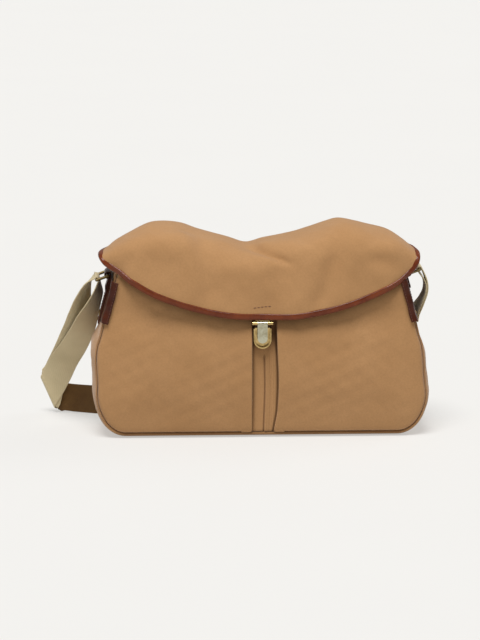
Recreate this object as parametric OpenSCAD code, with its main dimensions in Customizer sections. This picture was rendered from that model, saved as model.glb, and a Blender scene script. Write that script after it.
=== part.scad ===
// Canvas satchel bag with a leather-bound front flap, a pleated front pocket, a lever clasp,
// leather ring chapes and an adjustable webbing shoulder strap.
// The origin is the centre of the base, where it meets the floor. +Z is up, -Y is the front.

/* [Bag body] */
// Width across the rounded lower corners
base_w = 440; // [400:5:480]
// Depth from the pocket's face to the back panel
body_d = 119.5; // [110:0.5:140]
// Height of the gusset's top edge
side_h = 236; // [228:1:240]
// Radius of the lower corners
corner_r = 42; // [30:1:55]
// Lean of the sides' upper part, in degrees
side_tilt = 15; // [12:0.5:17]
// Lean of the sides' lower part, in degrees
low_tilt = 7; // [5:0.5:9]
// Height at which the sides' lean changes
knee_z = 140; // [135:1:141]
// Thickness of the canvas walls
wall_t = 2.5; // [2:0.1:3]
// Depth of the front pocket
pocket_gap = 10; // [8:1:14]
// Height of the pocket's mouth
pocket_h = 225; // [215:1:226]
// Width of the open channel of the pocket's pleat
pleat_w = 34; // [30:1:40]
// Sideways position of the pleat and of the clasp
centre_x = 3; // [0:1:6]

/* [Flap] */
// Half of the flap's width across its front corners
flap_half_w = 206; // [200:1:210]
// Height of the flap's top
flap_top_z = 268; // [262:1:275]
// Height of the flap's lowest point, in the middle of the front
flap_low_z = 158; // [152:1:164]
// Radius of the curved front edge
flap_edge_r = 356; // [340:1:380]
// Thickness of the flap's canvas
flap_t = 3; // [2.5:0.1:3.5]
// Width of the leather binding
binding_w = 7; // [6:0.5:8]
// Thickness of the leather binding
binding_t = 4.5; // [4:0.5:5]

/* [Clasp] */
// Width of the clasp's top bar
clasp_w = 27; // [25:1:28]
// Width of the lever
lever_w = 13.4; // [12:0.2:14]
// Radius of the hinge pin
pin_r = 1; // [0.8:0.1:1.1]

/* [Strap and rings] */
// Width of the webbing
web_w = 38; // [36:1:40]
// Thickness of the webbing
web_t = 1.8; // [1.5:0.1:2.2]
// Radius of the rings' wire
wire_r = 1.9; // [1.6:0.1:2.2]
// Distance between the two long bars of a ring
ring_reach = 16; // [15:0.5:18]

/* [Hidden] */
$fn = 48;
slack = 0.3;
half_w = base_w / 2;
back_y = 55;
front_y = back_y - body_d;
gusset_front_y = front_y + wall_t;
gusset_back_y = back_y - wall_t;
divider_y = gusset_front_y + pocket_gap;
back_h = side_h + 10;
corner_x = half_w - corner_r;

pleat_left = centre_x - pleat_w / 2;
pleat_right = centre_x + pleat_w / 2;
pleat_y = gusset_front_y;

hinge_y = back_y + 2.5;
hinge_z = back_h + 2;
hinge_r = 2;
flap_front_y = -70;
flap_inner_y = flap_front_y + flap_t / 2;
fold_r = 18;

pin_y = -71;
pin_z = flap_low_z - 4;
knuckle_r = 2.3;
knuckle_gap = 13.6;

patch_t = 2;
patch_top_z = 208;
patch_h = 56;
patch_tongue_h = 14;
chape_w = 34;
roll_r = 5;
roll_bore_r = 2.3;
loop_bore_r = 2.3;
ring_len = web_w + 5;
// How far the rings lean down from level
RING_TILTS = [20, -20];

run_y = 73;

// The strap's route: centre of the webbing, and the direction of its width
RUN_ROUTE = [
    [[-220, 2, 172], [-0.2, -0.98, 0.05]],
    [[-223, 18, 152], [-0.62, -0.76, 0.2]],
    [[-228, 37, 132], [-0.78, -0.58, 0.25]],
    [[-234, 56, 113], [-0.86, -0.4, 0.32]],
    [[-240, 72, 96], [-0.88, -0.3, 0.37]],
    [[-256, 94, 60], [-0.9, -0.05, 0.43]],
    [[-272, 103, 21], [-0.4, -0.05, 0.92]],
    [[-278, 109, 21], [-0.4, -0.02, 0.92]],
    [[-272, 115, 21], [-0.4, 0, 0.92]],
    [[-240, 108, 20], [0, 0, 1]],
    [[-212, 92, 21], [0, 0, 1]],
    [[-185, 78, 23], [0, 0, 1]],
    [[-165, run_y, 25], [0, 0, 1]],
    [[-20, run_y, 25], [0, 0, 1]],
    [[50, 73, 21], [0, 0, 1]],
    [[110, 74, 26], [-0.25, 0, 0.97]],
    [[170, 76, 55], [-0.65, 0, 0.75]],
    [[208, 75, 95], [-0.7, 0.35, 0.62]],
    [[222, 52, 122], [-0.35, 0.75, 0.56]],
    [[221, 24, 148], [-0.1, 0.92, 0.38]],
    [[219, 6, 170], [0, 0.98, 0.1]],
    [[220, 0, 186], [0, 1, 0]]
];
RETURN_ROUTE = [
    [[-228, 6, 176], [-0.2, -0.98, 0.05]],
    [[-233, 24, 158], [-0.62, -0.76, 0.2]],
    [[-237, 42, 138], [-0.78, -0.58, 0.25]],
    [[-243, 61, 116], [-0.86, -0.4, 0.32]],
    [[-249, 77, 98], [-0.88, -0.3, 0.37]],
    [[-260, 98, 62], [-0.9, -0.05, 0.43]],
    [[-270, 106.5, 21], [-0.4, -0.05, 0.92]],
    [[-273, 109, 21], [-0.4, -0.02, 0.92]],
    [[-270, 111.5, 21], [-0.4, 0, 0.92]],
    [[-240, 104, 20], [0, 0, 1]],
    [[-212, 88, 21], [0, 0, 1]],
    [[-185, 74, 23], [0, 0, 1]],
    [[-168, 69, 25], [0, 0, 1]]
];

slider_x = -140;
slider_len = 30;
slider_bar_r = 1.6;

CANVAS = [0.69, 0.53, 0.35];
CANVAS_DARK = [0.6, 0.45, 0.29];
LEATHER = [0.4, 0.2, 0.12];
LEATHER_DARK = [0.25, 0.12, 0.1];
WEBBING = [0.7, 0.64, 0.49];
BRASS = [0.78, 0.63, 0.32];
STEEL = [0.75, 0.74, 0.7];

// ---- outline of the bag, seen from the front ----

// Half width of the outline at height z, drawn in by inset: on the lower and the upper part
// of a side, and wherever z lies
function low_side_x(z, inset) =
    corner_x + (corner_r - inset - (z - corner_r) * sin(low_tilt)) / cos(low_tilt);
function high_side_x(z, inset) =
    low_side_x(knee_z, 0) - (z - knee_z) * tan(side_tilt) - inset / cos(side_tilt);
function side_x(z, inset = 0) = min(low_side_x(z, inset), high_side_x(z, inset));

// Height at which the two parts of a side meet
function knee(inset) =
    knee_z - inset * (1 / cos(side_tilt) - 1 / cos(low_tilt)) / (tan(side_tilt) - tan(low_tilt));

// Right half of the outline, from the base up to height top
function half_outline(inset, top) = concat(
    [for (i = [0:8])
        let (a = -90 + i * (90 + low_tilt) / 8)
        [corner_x + (corner_r - inset) * cos(a), corner_r + (corner_r - inset) * sin(a)]],
    [[side_x(knee(inset), inset), knee(inset)], [side_x(top, inset), top]]
);

function mirrored(points) = [for (i = [len(points) - 1:-1:0]) [-points[i][0], points[i][1]]];

module outline(inset, top) {
    polygon(concat(half_outline(inset, top), mirrored(half_outline(inset, top))));
}

// Slab with the bag's outline, from y0 back to y1
module slab(inset, top, y0, y1) {
    translate([0, y1, 0])
        rotate([90, 0, 0])
            linear_extrude(y1 - y0)
                outline(inset, top);
}

// Box between two opposite corners
module block(lo, hi) {
    translate(lo)
        cube(hi - lo);
}

// ---- solids made of a grid of points ----

// Closed solid between an outer and an inner grid, each a list of rows
module sheet(outer, inner) {
    nr = len(outer);
    nc = len(outer[0]);
    n = nr * nc;
    points = concat([for (row = outer) each row], [for (row = inner) each row]);
    skin = [for (r = [0:nr - 2]) for (c = [0:nc - 2])
        let (a = r * nc + c, b = a + 1, d = a + nc, e = d + 1)
        each [[a, b, e], [a, e, d]]];
    lining = [for (f = skin) [f[2] + n, f[1] + n, f[0] + n]];
    ends = [for (c = [0:nc - 2])
        let (a = c, b = c + 1, d = (nr - 1) * nc + c, e = d + 1)
        each [[b, a, a + n], [b, a + n, b + n], [d, e, e + n], [d, e + n, d + n]]];
    sides = [for (r = [0:nr - 2])
        let (a = r * nc, d = a + nc, b = a + nc - 1, e = b + nc)
        each [[a, d, d + n], [a, d + n, a + n], [e, b, b + n], [e, b + n, e + n]]];
    polyhedron(points, concat(skin, lining, ends, sides), convexity = 8);
}

function unit(v) = v / norm(v);

// Direction of travel at station i of a webbing route
function travel(route, i) =
    unit(route[min(i + 1, len(route) - 1)][0] - route[max(i - 1, 0)][0]);

// Webbing swept along a route of centres and width directions
module webbing(route) {
    last = len(route) - 1;
    rows = [for (i = [0:last])
        let (c = route[i][0],
             w = unit(route[i][1]) * web_w / 2,
             n = unit(cross(travel(route, i), route[i][1])) * web_t / 2)
        [[c + w + n, c - w + n], [c + w - n, c - w - n]]];
    sheet([for (row = rows) row[0]], [for (row = rows) row[1]]);
}

// Places its children on the gusset's outer face: +X outward, +Z up along the face.
// side is 1 for the right and -1 for the left.
module on_side(side) {
    mirror([side < 0 ? 1 : 0, 0, 0])
        translate([side_x(patch_top_z), 0, patch_top_z])
            rotate([0, -side_tilt, 0])
                children();
}

// Cylinder along Y through the origin, centred
module y_rod(r, length) {
    rotate([90, 0, 0])
        cylinder(r = r, h = length, center = true);
}

// Cylinder along X through the origin, centred
module x_rod(r, length) {
    rotate([0, 90, 0])
        cylinder(r = r, h = length, center = true);
}

// ---- bag body ----

module back_panel() {
    color(CANVAS)
        slab(0, back_h, gusset_back_y, back_y);
}

module front_panel() {
    color(CANVAS_DARK)
        slab(wall_t, side_h, divider_y, divider_y + wall_t);
}

module gusset() {
    color(CANVAS)
        difference() {
            slab(0, side_h, gusset_front_y, gusset_back_y);
            slab(wall_t, side_h + 20, gusset_front_y - 1, gusset_back_y + 1);
        }
}

module base_board() {
    board_half_w = corner_x - 6;
    color("dimgray")
        block([-board_half_w, divider_y + wall_t + 2, wall_t],
              [board_half_w, gusset_back_y - 2, wall_t + 3]);
}

module mouth_binding() {
    tape_t = 1.2;
    tape_h = 12;
    y0 = divider_y + wall_t;
    color(CANVAS_DARK)
        difference() {
            intersection() {
                slab(wall_t, side_h, y0, gusset_back_y);
                block([-half_w, y0 - 1, side_h - tape_h], [half_w, back_y, side_h]);
            }
            slab(wall_t + tape_t, side_h + 20, y0 + tape_t, gusset_back_y - tape_t);
        }
}

// Part of the pocket's face between two x positions
module pocket_face(x0, x1, z0, y0, y1) {
    intersection() {
        slab(0, pocket_h, y0, y1);
        block([x0, y0 - 1, z0], [x1, y1 + 1, pocket_h + 1]);
    }
}

module pocket_panel_left() {
    color(CANVAS)
        pocket_face(-half_w, pleat_left, 0, front_y, gusset_front_y);
}

module pocket_panel_right() {
    color(CANVAS)
        pocket_face(pleat_right, half_w, 0, front_y, gusset_front_y);
}

module pocket_pleat() {
    under = 24;
    pleat_t = 2;
    color(CANVAS_DARK)
        difference() {
            block([pleat_left - under, pleat_y, wall_t], [pleat_right + under, pleat_y + pleat_t, pocket_h - 4]);
            receiver_holes();
        }
}

hem_h = 11;
hem_t = 1.2;

module pocket_hem_left() {
    color(CANVAS_DARK)
        pocket_face(-half_w, pleat_left, pocket_h - hem_h, front_y - hem_t, front_y);
}

module pocket_hem_right() {
    color(CANVAS_DARK)
        pocket_face(pleat_right, half_w, pocket_h - hem_h, front_y - hem_t, front_y);
}

module flap_seam_tape() {
    tape_half_w = 178;
    tape_h = 20;
    color(CANVAS_DARK)
        block([-tape_half_w, back_y, back_h - tape_h], [tape_half_w, back_y + 1.2, back_h - 1]);
}

// ---- flap ----

COLS = 30;
end_drop = 18;
// Distances from the hinge towards the front where the flap's rows lie, the share
// of the rise that each has reached, and how much narrower the flap is there
REAR_ROWS = [[0, 0, 26], [5.5, 0.55, 20], [15.5, 0.88, 12], [32.5, 1, 4], [57.5, 1, 0], [87.5, 1, 0]];

function across(i) = -1 + 2 * i / COLS;

// Height of the flap's top at u, which runs from -1 to 1 across it
function top_z(u) = flap_top_z - end_drop * pow(max(0, abs(u) - 0.58) / 0.42, 2);

// Height of the lower edge at x: a wide arc, a little higher on the left, whose ends turn
// up into the corners
function edge_z(x) =
    flap_low_z + flap_edge_r - sqrt(flap_edge_r * flap_edge_r - x * x)
    + 10 * pow(max(0, -x) / 186, 2.6) + 5 * pow(max(0, -x - 180) / 26, 2)
    - 3.6 * pow(max(0, x) / 175, 1.5) + 20 * pow(max(0, x - 186) / 20, 2);

// Slope of the lower edge at x
function edge_slope(x) = edge_z(x + 0.5) - edge_z(x - 0.5);

// Radius of the fold at the top of the front, smaller at the corners
function fold(u) = min(fold_r, 0.8 * (top_z(u) - edge_z(u * flap_half_w)));

// Point on the canvas's middle, moved outward by d, for each row of the flap
function rear_point(u, row, d) = [
    u * (flap_half_w - row[2]),
    hinge_y - row[0] + d * (1 - row[1]),
    hinge_z + (top_z(u) - hinge_z) * row[1] + d * (0.5 + 0.5 * row[1])
];
function fold_point(u, a, d) = [
    u * flap_half_w,
    flap_front_y + fold(u) - (fold(u) + d) * sin(a),
    top_z(u) - fold(u) + (fold(u) + d) * cos(a)
];
function hang_point(u, share, d, stop) = [
    u * flap_half_w,
    flap_front_y - d,
    (top_z(u) - fold(u)) * (1 - share) + (edge_z(u * flap_half_w) + stop) * share
];

function flap_rows(d) = concat(
    [for (row = REAR_ROWS) [for (i = [0:COLS]) rear_point(across(i), row, d)]],
    [for (a = [0:22.5:90]) [for (i = [0:COLS]) fold_point(across(i), a, d)]],
    [for (share = [0.25:0.25:1]) [for (i = [0:COLS])
        let (u = across(i))
        hang_point(u, share, d, binding_stop(u))]]
);

// Height of the binding above the edge, measured straight up; the corners' share is
// limited to what hangs there
function binding_stop(u) =
    let (x = u * flap_half_w, rise = binding_w * sqrt(1 + pow(edge_slope(x), 2)))
    min(rise, 0.8 * (top_z(u) - fold(u) - edge_z(x)));

module flap_panel() {
    color(CANVAS) {
        sheet(flap_rows(flap_t / 2), flap_rows(-flap_t / 2));
        translate([0, hinge_y, hinge_z])
            x_rod(hinge_r, 2 * (flap_half_w - 27));
    }
}

module flap_binding() {
    y_out = flap_inner_y - binding_t;
    edge = [for (i = [0:COLS])
        let (u = across(i), x = u * flap_half_w)
        [x, edge_z(x), edge_z(x) + binding_stop(u)]];
    function strip(y) = [
        [for (e = edge) [e[0], y, e[2]]],
        [for (e = edge) [e[0], y, e[1]]]
    ];
    color(LEATHER)
        sheet(strip(y_out), strip(flap_inner_y));
}

tab_half_w = 9;
tab_t = 2.4;
tab_top_z = 200;
tab_low_z = pin_z - 4.6;
TAB_RIVETS_Z = [182, 194];
tab_rivet_r = 1.5;

module closure_tab() {
    color(LEATHER_DARK)
        difference() {
            block([centre_x - tab_half_w, flap_inner_y, tab_low_z],
                  [centre_x + tab_half_w, flap_inner_y + tab_t, tab_top_z]);
            for (z = TAB_RIVETS_Z)
                translate([centre_x, flap_inner_y, z])
                    y_rod(tab_rivet_r, 20);
        }
}

module tab_rivets() {
    head_t = 0.8;
    color(BRASS)
        for (z = TAB_RIVETS_Z)
            translate([centre_x, flap_inner_y, z]) {
                translate([0, tab_t / 2, 0])
                    y_rod(tab_rivet_r - 0.05, tab_t);
                translate([0, tab_t + head_t / 2, 0])
                    y_rod(3, head_t);
            }
}

// ---- clasp ----

// One hinge knuckle of the top bar, side is -1 or 1
module bar_knuckle(side) {
    length = (clasp_w - knuckle_gap) / 2;
    translate([centre_x + side * (knuckle_gap + length) / 2, pin_y, pin_z])
        difference() {
            union() {
                x_rod(knuckle_r, length);
                block([-length / 2, 0, -knuckle_r], [length / 2, flap_inner_y - pin_y, knuckle_r]);
            }
            x_rod(pin_r, length + 1);
        }
}

module clasp_bar() {
    plate_t = 0.8;
    color(BRASS) {
        difference() {
            union()
                for (side = [-1, 1])
                    bar_knuckle(side);
            translate([centre_x, pin_y, pin_z])
                x_rod(pin_r, clasp_w + 1);
        }
        block([centre_x - tab_half_w, flap_inner_y - plate_t, pin_z + knuckle_r - 0.3],
              [centre_x + tab_half_w, flap_inner_y, pin_z + knuckle_r + 1]);
    }
}

module clasp_pin() {
    color(BRASS)
        translate([centre_x, pin_y, pin_z])
            x_rod(pin_r, clasp_w);
}

lever_len = 24;

module clasp_lever() {
    lever_t = 1.6;
    barrel_len = knuckle_gap - 2 * slack;
    color(STEEL)
        translate([centre_x, pin_y, pin_z])
            difference() {
                union() {
                    x_rod(knuckle_r - 0.1, barrel_len);
                    block([-lever_w / 2 + 0.2, -lever_t / 2, -lever_len + 4],
                          [lever_w / 2 - 0.2, lever_t / 2, 0]);
                    translate([0, 0, -lever_len + 4])
                        y_rod(lever_w / 2 - 0.2, lever_t);
                }
                x_rod(pin_r + 0.2, clasp_w);
            }
}

backing_t = 1.5;
receiver_half_w = 11.5;
receiver_top_z = pin_z - 7;
receiver_low_z = pin_z - 33.5;
receiver_plate_t = 1.5;
rim_t = 1.6;
RIVETS_Z = [receiver_low_z + 5, receiver_top_z - 4];
rivet_r = 1.3;

module receiver_holes() {
    for (z = RIVETS_Z)
        translate([centre_x, pleat_y, z])
            y_rod(rivet_r, 20);
}

module clasp_backing() {
    margin = 1;
    color(LEATHER_DARK)
        difference() {
            block([centre_x - receiver_half_w - margin, pleat_y - backing_t, receiver_low_z - margin],
                  [centre_x + receiver_half_w + margin, pleat_y, receiver_top_z + 1]);
            receiver_holes();
        }
}

// Outline of the receiver seen from the front: a U with a round lower end
module receiver_shape(inset) {
    r = receiver_half_w - inset;
    translate([0, receiver_low_z + receiver_half_w])
        circle(r = r);
    translate([-r, receiver_low_z + receiver_half_w])
        square([2 * r, receiver_top_z - receiver_low_z - receiver_half_w]);
}

module clasp_receiver() {
    plate_y = pleat_y - backing_t;
    rim_d = 8;
    color(BRASS)
        difference() {
            translate([centre_x, plate_y, 0])
                rotate([90, 0, 0])
                    linear_extrude(rim_d)
                        receiver_shape(0);
            translate([centre_x, plate_y - receiver_plate_t, 0])
                rotate([90, 0, 0])
                    linear_extrude(rim_d)
                        receiver_shape(rim_t);
            block([centre_x - receiver_half_w + rim_t, plate_y - 20, receiver_top_z - rim_t - 1],
                  [centre_x + receiver_half_w - rim_t, plate_y - receiver_plate_t, receiver_top_z + 1]);
            receiver_holes();
        }
}

module receiver_rivets() {
    head_t = 0.9;
    plate_y = pleat_y - backing_t - receiver_plate_t;
    color(BRASS)
        for (z = RIVETS_Z)
            translate([centre_x, 0, z]) {
                translate([0, plate_y + 2.5, 0])
                    y_rod(rivet_r - 0.05, 5);
                translate([0, plate_y - head_t / 2, 0])
                    y_rod(2.2, head_t);
            }
}

// ---- leather on the sides, rings and strap ----

CHAPE_RIVETS = [[-9, -54], [9, -54]];
chape_rivet_r = 1.6;

module chape_holes() {
    for (p = CHAPE_RIVETS)
        translate([0, p[0], p[1]])
            x_rod(chape_rivet_r, 12);
}

module corner_patch(side) {
    patch_back_y = 34;
    fold_w = 11;
    color(LEATHER_DARK)
        on_side(side)
            difference() {
                union() {
                    block([0, front_y - patch_t, -patch_h], [patch_t, patch_back_y, 0]);
                    block([-fold_w, front_y - patch_t, -patch_h], [0.5, front_y, 0]);
                    block([0, -chape_w / 2 - 3, -patch_h - patch_tongue_h], [patch_t, chape_w / 2 + 3, -patch_h]);
                }
                chape_holes();
            }
}

module corner_patch_left() {
    corner_patch(-1);
}

module corner_patch_right() {
    corner_patch(1);
}

module chape(side) {
    chape_t = 2;
    chape_low = -patch_h - 10;
    color(LEATHER)
        on_side(side)
            difference() {
                union() {
                    block([patch_t, -chape_w / 2, chape_low], [patch_t + chape_t, chape_w / 2, -0.5]);
                    translate([patch_t + roll_r, 0, -0.5])
                        y_rod(roll_r, chape_w);
                }
                translate([patch_t + roll_r, 0, -0.5])
                    y_rod(roll_bore_r, chape_w + 2);
                chape_holes();
            }
}

module chape_left() {
    chape(-1);
}

module chape_right() {
    chape(1);
}

module chape_rivets(side) {
    face_x = patch_t + 2;
    color(BRASS)
        on_side(side)
            for (p = CHAPE_RIVETS)
                translate([0, p[0], p[1]]) {
                    translate([face_x / 2, 0, 0])
                        x_rod(chape_rivet_r - 0.05, face_x);
                    translate([face_x + 0.5, 0, 0])
                        x_rod(3, 1);
                }
}

module chape_rivets_left() {
    chape_rivets(-1);
}

module chape_rivets_right() {
    chape_rivets(1);
}

function ring_tilt(side) = RING_TILTS[side < 0 ? 0 : 1];

// Places its children at a ring's pivot: +X along the ring away from the chape
module at_ring(side) {
    on_side(side)
        translate([patch_t + roll_r, 0, -0.5])
            rotate([0, side_tilt + ring_tilt(side), 0])
                children();
}

// Rectangular wire ring that turns on its inner bar
module ring(side) {
    color(BRASS)
        at_ring(side) {
            for (x = [0, ring_reach])
                translate([x, 0, 0])
                    y_rod(wire_r, ring_len);
            for (end = [-1, 1])
                translate([ring_reach / 2, end * ring_len / 2, 0])
                    x_rod(wire_r, ring_reach);
            for (x = [0, ring_reach])
                for (end = [-1, 1])
                    translate([x, end * ring_len / 2, 0])
                        sphere(r = wire_r);
        }
}

module ring_left() {
    ring(-1);
}

module ring_right() {
    ring(1);
}

// Webbing folded over a ring's outer bar, with both legs hanging by lean degrees
module strap_loop(side, lean, leg) {
    outer_r = loop_bore_r + web_t;
    color(WEBBING)
        at_ring(side)
            translate([ring_reach, web_w / 2, 0])
                rotate([0, -ring_tilt(side) - lean, 0])
                    rotate([90, 0, 0])
                        linear_extrude(web_w)
                            difference() {
                                union() {
                                    circle(r = outer_r);
                                    translate([-outer_r, -leg])
                                        square([2 * outer_r, leg]);
                                }
                                circle(r = loop_bore_r);
                                translate([-loop_bore_r, -leg - 1])
                                    square([2 * loop_bore_r, leg + 1]);
                            }
}

module strap_loop_left() {
    strap_loop(-1, 18, 29);
}

module strap_loop_right() {
    strap_loop(1, 15, 25);
}

module strap_run() {
    color(WEBBING)
        webbing(RUN_ROUTE);
}

module strap_return() {
    color(WEBBING)
        webbing(RETURN_ROUTE);
}

// Three-bar slider around the rear run of the strap
module strap_slider() {
    mid_z = 25;
    half_h = web_w / 2 + 2.4;
    bar_off = 3;
    rail_t = 2 * slider_bar_r;
    color(BRASS)
        translate([slider_x, run_y, mid_z]) {
            for (end = [-1, 1]) {
                translate([end * slider_len / 2, -bar_off, 0])
                    cylinder(r = slider_bar_r, h = 2 * half_h, center = true);
                block([-slider_len / 2 - slider_bar_r, -bar_off - slider_bar_r, end * half_h - slider_bar_r],
                      [slider_len / 2 + slider_bar_r, bar_off + slider_bar_r, end * half_h + slider_bar_r]);
            }
            translate([0, bar_off, 0])
                cylinder(r = slider_bar_r, h = 2 * half_h, center = true);
        }
}

back_panel();
front_panel();
gusset();
base_board();
mouth_binding();
pocket_panel_left();
pocket_panel_right();
pocket_pleat();
pocket_hem_left();
pocket_hem_right();
flap_seam_tape();
flap_panel();
flap_binding();
closure_tab();
tab_rivets();
clasp_bar();
clasp_pin();
clasp_lever();
clasp_backing();
clasp_receiver();
receiver_rivets();
corner_patch_left();
corner_patch_right();
chape_left();
chape_right();
chape_rivets_left();
chape_rivets_right();
ring_left();
ring_right();
strap_loop_left();
strap_loop_right();
strap_run();
strap_return();
strap_slider();
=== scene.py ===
"""Looks of a canvas satchel bag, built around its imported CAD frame.

Shapes are worked out in millimetres in the frame's own axes (+X right, +Y back, +Z up)
and turned into metres when a mesh is made.
"""
import math
import random

import bpy
import numpy as np
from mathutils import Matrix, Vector


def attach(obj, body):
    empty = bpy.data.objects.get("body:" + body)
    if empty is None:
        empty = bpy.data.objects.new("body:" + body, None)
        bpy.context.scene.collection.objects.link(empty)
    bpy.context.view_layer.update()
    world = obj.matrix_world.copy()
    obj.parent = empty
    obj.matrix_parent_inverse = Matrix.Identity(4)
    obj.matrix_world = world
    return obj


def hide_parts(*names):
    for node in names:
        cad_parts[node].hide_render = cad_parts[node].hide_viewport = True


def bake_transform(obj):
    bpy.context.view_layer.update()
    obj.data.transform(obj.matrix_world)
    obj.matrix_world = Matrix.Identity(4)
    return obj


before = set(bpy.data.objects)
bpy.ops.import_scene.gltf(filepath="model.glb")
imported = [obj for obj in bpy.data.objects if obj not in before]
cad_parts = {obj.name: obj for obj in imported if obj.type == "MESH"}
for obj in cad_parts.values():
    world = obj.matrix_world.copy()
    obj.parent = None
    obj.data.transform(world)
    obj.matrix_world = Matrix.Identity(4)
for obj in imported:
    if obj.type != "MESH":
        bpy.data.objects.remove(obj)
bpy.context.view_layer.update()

MM = 0.001


# ---------------------------------------------------------------- camera, floor and light

VIEW_AZIMUTH = -2.5       # degrees, the camera stands a little to the left
VIEW_ELEVATION = 10.5
LENS_OVER_SENSOR = 180 / 36
MM_PER_PIXEL = 1.3
IMAGE_H = 640
TARGET = (-26, -62, 157)


def place_camera():
    distance = IMAGE_H * MM_PER_PIXEL * LENS_OVER_SENSOR * MM
    az, el = math.radians(VIEW_AZIMUTH), math.radians(VIEW_ELEVATION)
    back = Vector((math.sin(az) * math.cos(el), -math.cos(az) * math.cos(el), math.sin(el)))
    data = bpy.data.cameras.new("camera")
    data.sensor_width = 36
    data.lens = 36 * LENS_OVER_SENSOR
    camera = bpy.data.objects.new("camera", data)
    camera.location = Vector(TARGET) * MM + back * distance
    camera.rotation_euler = back.to_track_quat("Z", "Y").to_euler()
    bpy.context.scene.collection.objects.link(camera)
    bpy.context.scene.camera = camera


def sun(name, toward, strength, spread):
    """Distant light that shines from the direction toward, spread over that many degrees."""
    data = bpy.data.lights.new(name, "SUN")
    data.energy = strength
    data.angle = math.radians(spread)
    light = bpy.data.objects.new(name, data)
    light.rotation_euler = Vector(toward).to_track_quat("Z", "Y").to_euler()
    bpy.context.scene.collection.objects.link(light)


def light_studio():
    sun("key", (-0.1, -0.4, 1), 3.15, 30)
    sun("rim", (0.9, 0.5, 0.9), 0.3, 30)
    world = bpy.data.worlds.new("studio")
    world.use_nodes = True
    sky = world.node_tree.nodes["Background"]
    sky.inputs["Color"].default_value = (1.0, 0.992, 0.96, 1)
    sky.inputs["Strength"].default_value = 0.28
    bpy.context.scene.world = world
    bpy.context.scene.view_settings.view_transform = "Standard"


# ---------------------------------------------------------------- materials

def new_material(name, colour, roughness, metallic=0.0, **sockets):
    """A Principled material. Further sockets are given by name, with _ for each space."""
    mat = bpy.data.materials.new(name)
    mat.use_nodes = True
    shader = mat.node_tree.nodes["Principled BSDF"]
    shader.inputs["Base Color"].default_value = (*colour, 1)
    shader.inputs["Roughness"].default_value = roughness
    shader.inputs["Metallic"].default_value = metallic
    for key, value in sockets.items():
        shader.inputs[key.replace("_", " ")].default_value = value
    return mat, mat.node_tree, shader


def add(tree, kind, inputs=None, **props):
    """Adds a node. An input's value is a number, a colour or another node's output socket."""
    made = tree.nodes.new("ShaderNode" + kind)
    for key, value in props.items():
        setattr(made, key, value)
    for key, value in (inputs or {}).items():
        if isinstance(value, bpy.types.NodeSocket):
            tree.links.new(value, made.inputs[key])
        else:
            made.inputs[key].default_value = value
    return made


def math_node(tree, operation, a, b):
    return add(tree, "Math", {0: a, 1: b}, operation=operation).outputs[0]


def blend_colours(tree, factor, a, b):
    """Colour that goes from a to b as factor goes from 0 to 1."""
    mix = tree.nodes.new("ShaderNodeMix")
    mix.data_type = "RGBA"
    for index, value in ((0, factor), (6, a), (7, b)):
        if isinstance(value, bpy.types.NodeSocket):
            tree.links.new(value, mix.inputs[index])
        else:
            mix.inputs[index].default_value = value if index == 0 else (*value, 1)
    return mix.outputs[2]


def weighted(tree, *parts):
    """Sum of (value, weight) pairs."""
    total = None
    for value, weight in parts:
        term = value if weight == 1 else math_node(tree, "MULTIPLY", value, weight)
        total = term if total is None else math_node(tree, "ADD", total, term)
    return total


def scaled(colour, share):
    return tuple(min(1, c * share) for c in colour)


def spread(tree, value, low, high, to_low=0, to_high=1):
    """Stretches value so that low becomes to_low and high becomes to_high."""
    ranged = add(tree, "MapRange", {"Value": value, "From Min": low, "From Max": high,
                                    "To Min": to_low, "To Max": to_high})
    return ranged.outputs[0]


def noise(tree, coords, scale, detail=3.0, rough=0.55):
    made = add(tree, "TexNoise", {"Vector": coords, "Scale": scale, "Detail": detail,
                                  "Roughness": rough})
    return made.outputs["Fac"]


def bands(tree, coords, period, direction, distortion=0.0):
    """Sine bands of that period in metres."""
    share = 10 if direction == "DIAGONAL" else 20
    scale = 2 * math.pi / (share * period)
    made = add(tree, "TexWave", {"Vector": coords, "Scale": scale, "Distortion": distortion,
                                 "Detail": 2.0, "Detail Scale": 1.5},
               wave_type="BANDS", bands_direction=direction)
    return made.outputs["Fac"]


def surface(tree, shader, colour, height, strength, distance):
    """Sets the colour and a relief that is distance deep, in metres."""
    made = add(tree, "Bump", {"Height": height, "Strength": strength, "Distance": distance})
    tree.links.new(colour, shader.inputs["Base Color"])
    tree.links.new(made.outputs["Normal"], shader.inputs["Normal"])


# Painted shade: a share for each point of the cloth that darkens it under the flap, in seam grooves and pleat
# folds, near the clasp and along the base.
PAINTED_SHADE_ATTR = "painted_shade"                  # share from 0 to 1 that the cloth is darkened, point by point
PAINTED_SHADE_COLOUR = (0.085, 0.036, 0.01)  # colour of cloth with a share of 1


def paint_shade_points(obj, shares):
    """Paints shade into the cloth, by a share for each point of the mesh."""
    layer = obj.data.attributes.new(PAINTED_SHADE_ATTR, "FLOAT", "POINT")
    layer.data.foreach_set("value", np.clip(shares, 0, 1).astype(np.float32).ravel())


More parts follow.
